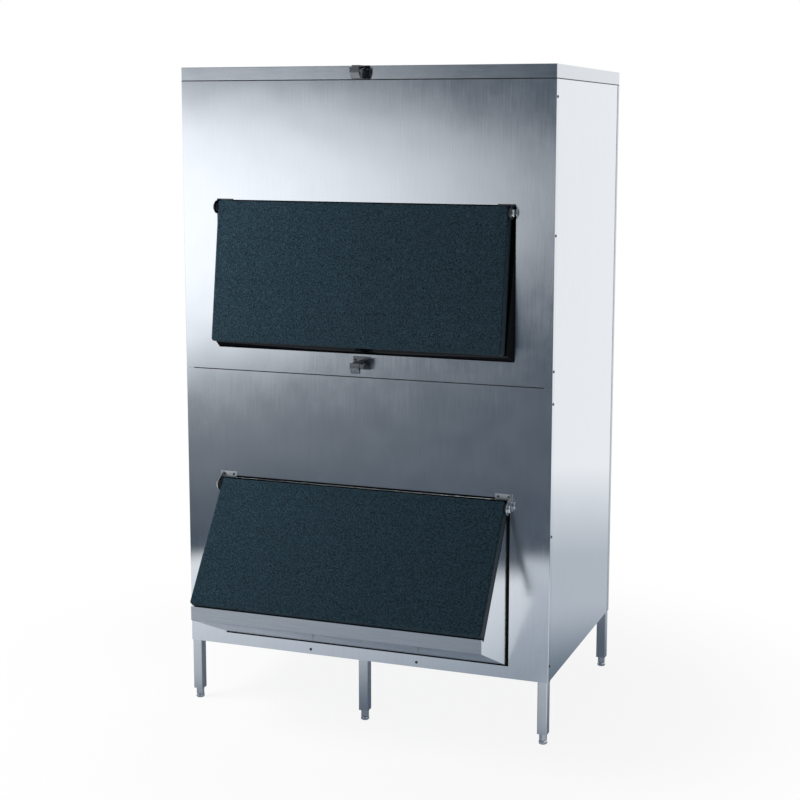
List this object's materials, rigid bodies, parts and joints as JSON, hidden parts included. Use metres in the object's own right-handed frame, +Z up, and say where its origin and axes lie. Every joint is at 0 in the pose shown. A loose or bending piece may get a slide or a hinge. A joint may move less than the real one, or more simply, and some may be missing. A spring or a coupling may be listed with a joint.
{
  "type": "ice storage bin",
  "caption": "Upright insulated ice bin on legs: drop opening in the top, upper access door, and a lower hopper with slanted top-hung door, sliding ice gate, hold-open catches and drain.",
  "frame": {"origin": "On the floor, under the middle of the whole bin, open hopper and doors at rest included.", "axes": "+Z up, +Y to the back of the bin, +X to the right as one faces the doors."},
  "size_m": [1.2236, 1.0622, 2.064],
  "materials": {
    "front_steel": "brushed upright",
    "side_steel": "brushed upright",
    "back_steel": "dull zinc coat",
    "hopper_steel": "brushed along the sheet",
    "bracket_steel": "satin",
    "fastener_steel": "bright",
    "door_plastic": "fine pebbled grain",
    "door_liner_plastic": "smooth",
    "frame_plastic": "glossy",
    "liner_plastic": "smooth",
    "gate_plastic": "smooth",
    "insulating_foam": "foamed in place",
    "seal_rubber": "matte",
    "drain_plastic": "satin",
    "stand_steel": "satin",
    "foot_steel": "satin"
  },
  "bodies": {
    "cabinet": {"upper_front_panel": "front_steel", "lower_front_panel": "front_steel", "left_side_panel": "side_steel", "right_side_panel": "side_steel", "back_panel": "back_steel", "bottom_panel": "back_steel", "side_foam": "insulating_foam", "back_foam": "insulating_foam", "floor_foam": "insulating_foam", "front_foam": "insulating_foam", "inner_liner": "liner_plastic", "lid_gasket": "seal_rubber", "seam_seal": "seal_rubber", "top_cover": "side_steel", "top_liner": "liner_plastic", "top_foam": "insulating_foam", "drop_collar": "liner_plastic", "upper_door_frame": "frame_plastic", "lower_door_frame": "frame_plastic", "hopper_shell": "hopper_steel", "hopper_wings": "hopper_steel", "hopper_header": "hopper_steel", "hopper_trough": "hopper_steel", "hopper_foam": "insulating_foam", "hinge_brackets": "bracket_steel", "hinge_bushings": "frame_plastic", "hinge_screws": "fastener_steel", "catch_plates": "bracket_steel", "catch_pins": "fastener_steel", "catch_springs": "fastener_steel", "catch_rivets": "fastener_steel", "panel_screws": "fastener_steel", "gate_channels": "gate_plastic", "drain_fitting": "drain_plastic", "drain_nut": "drain_plastic", "drain_strainer": "fastener_steel", "base_rails": "stand_steel", "front_legs": "stand_steel", "rear_legs": "stand_steel", "leg_inserts": "drain_plastic", "upper_door_gasket": "seal_rubber", "lower_door_gasket": "seal_rubber"},
    "upper_door": {"upper_door_shell": "door_plastic", "upper_door_liner": "door_liner_plastic", "upper_door_core": "insulating_foam", "upper_hinge_bolts": "fastener_steel"},
    "lower_door": {"lower_door_shell": "door_plastic", "lower_door_liner": "door_liner_plastic", "lower_door_core": "insulating_foam", "lower_hinge_bolts": "fastener_steel"},
    "upper_catch": {"upper_catch_hook": "bracket_steel"},
    "lower_catch": {"lower_catch_hook": "bracket_steel"},
    "gate": {"ice_gate": "gate_plastic", "gate_handle": "gate_plastic"},
    "front_left_leveller": {"front_left_foot": "foot_steel"},
    "front_middle_leveller": {"front_middle_foot": "foot_steel"},
    "front_right_leveller": {"front_right_foot": "foot_steel"},
    "rear_left_leveller": {"rear_left_foot": "foot_steel"},
    "rear_middle_leveller": {"rear_middle_foot": "foot_steel"},
    "rear_right_leveller": {"rear_right_foot": "foot_steel"}
  },
  "joints": [
    {"name": "upper_door_hinge", "type": "hinge", "parent": "cabinet", "child": "upper_door", "pos_m": [0, -0.28693, 1.63142], "axis": [-1, 0, 0], "range_deg": [0, 171.7]},
    {"name": "lower_door_hinge", "type": "hinge", "parent": "cabinet", "child": "lower_door", "pos_m": [0, -0.29493, 0.74295], "axis": [-1, 0, 0], "range_deg": [0, 145.4]},
    {"name": "upper_catch_pivot", "type": "hinge", "parent": "cabinet", "child": "upper_catch", "pos_m": [0, -0.27843, 2.0568], "axis": [-1, 0, 0], "range_deg": [0, 30], "stiffness_Nm_per_rad": 0.1, "springref_deg": -17.19},
    {"name": "lower_catch_pivot", "type": "hinge", "parent": "cabinet", "child": "lower_catch", "pos_m": [0, -0.27843, 1.15895], "axis": [-1, 0, 0], "range_deg": [0, 30], "stiffness_Nm_per_rad": 0.1, "springref_deg": -17.19},
    {"name": "gate_slide", "type": "slide", "parent": "cabinet", "child": "gate", "axis": [0, 0, 1], "range_m": [0, 0.3]},
    {"name": "front_left_leveller_screw", "type": "slide", "parent": "cabinet", "child": "front_left_leveller", "axis": [0, 0, -1], "range_m": [0, 0.025]},
    {"name": "front_middle_leveller_screw", "type": "slide", "parent": "cabinet", "child": "front_middle_leveller", "axis": [0, 0, -1], "range_m": [0, 0.025]},
    {"name": "front_right_leveller_screw", "type": "slide", "parent": "cabinet", "child": "front_right_leveller", "axis": [0, 0, -1], "range_m": [0, 0.025]},
    {"name": "rear_left_leveller_screw", "type": "slide", "parent": "cabinet", "child": "rear_left_leveller", "axis": [0, 0, -1], "range_m": [0, 0.025]},
    {"name": "rear_middle_leveller_screw", "type": "slide", "parent": "cabinet", "child": "rear_middle_leveller", "axis": [0, 0, -1], "range_m": [0, 0.025]},
    {"name": "rear_right_leveller_screw", "type": "slide", "parent": "cabinet", "child": "rear_right_leveller", "axis": [0, 0, -1], "range_m": [0, 0.025]}
  ]
}
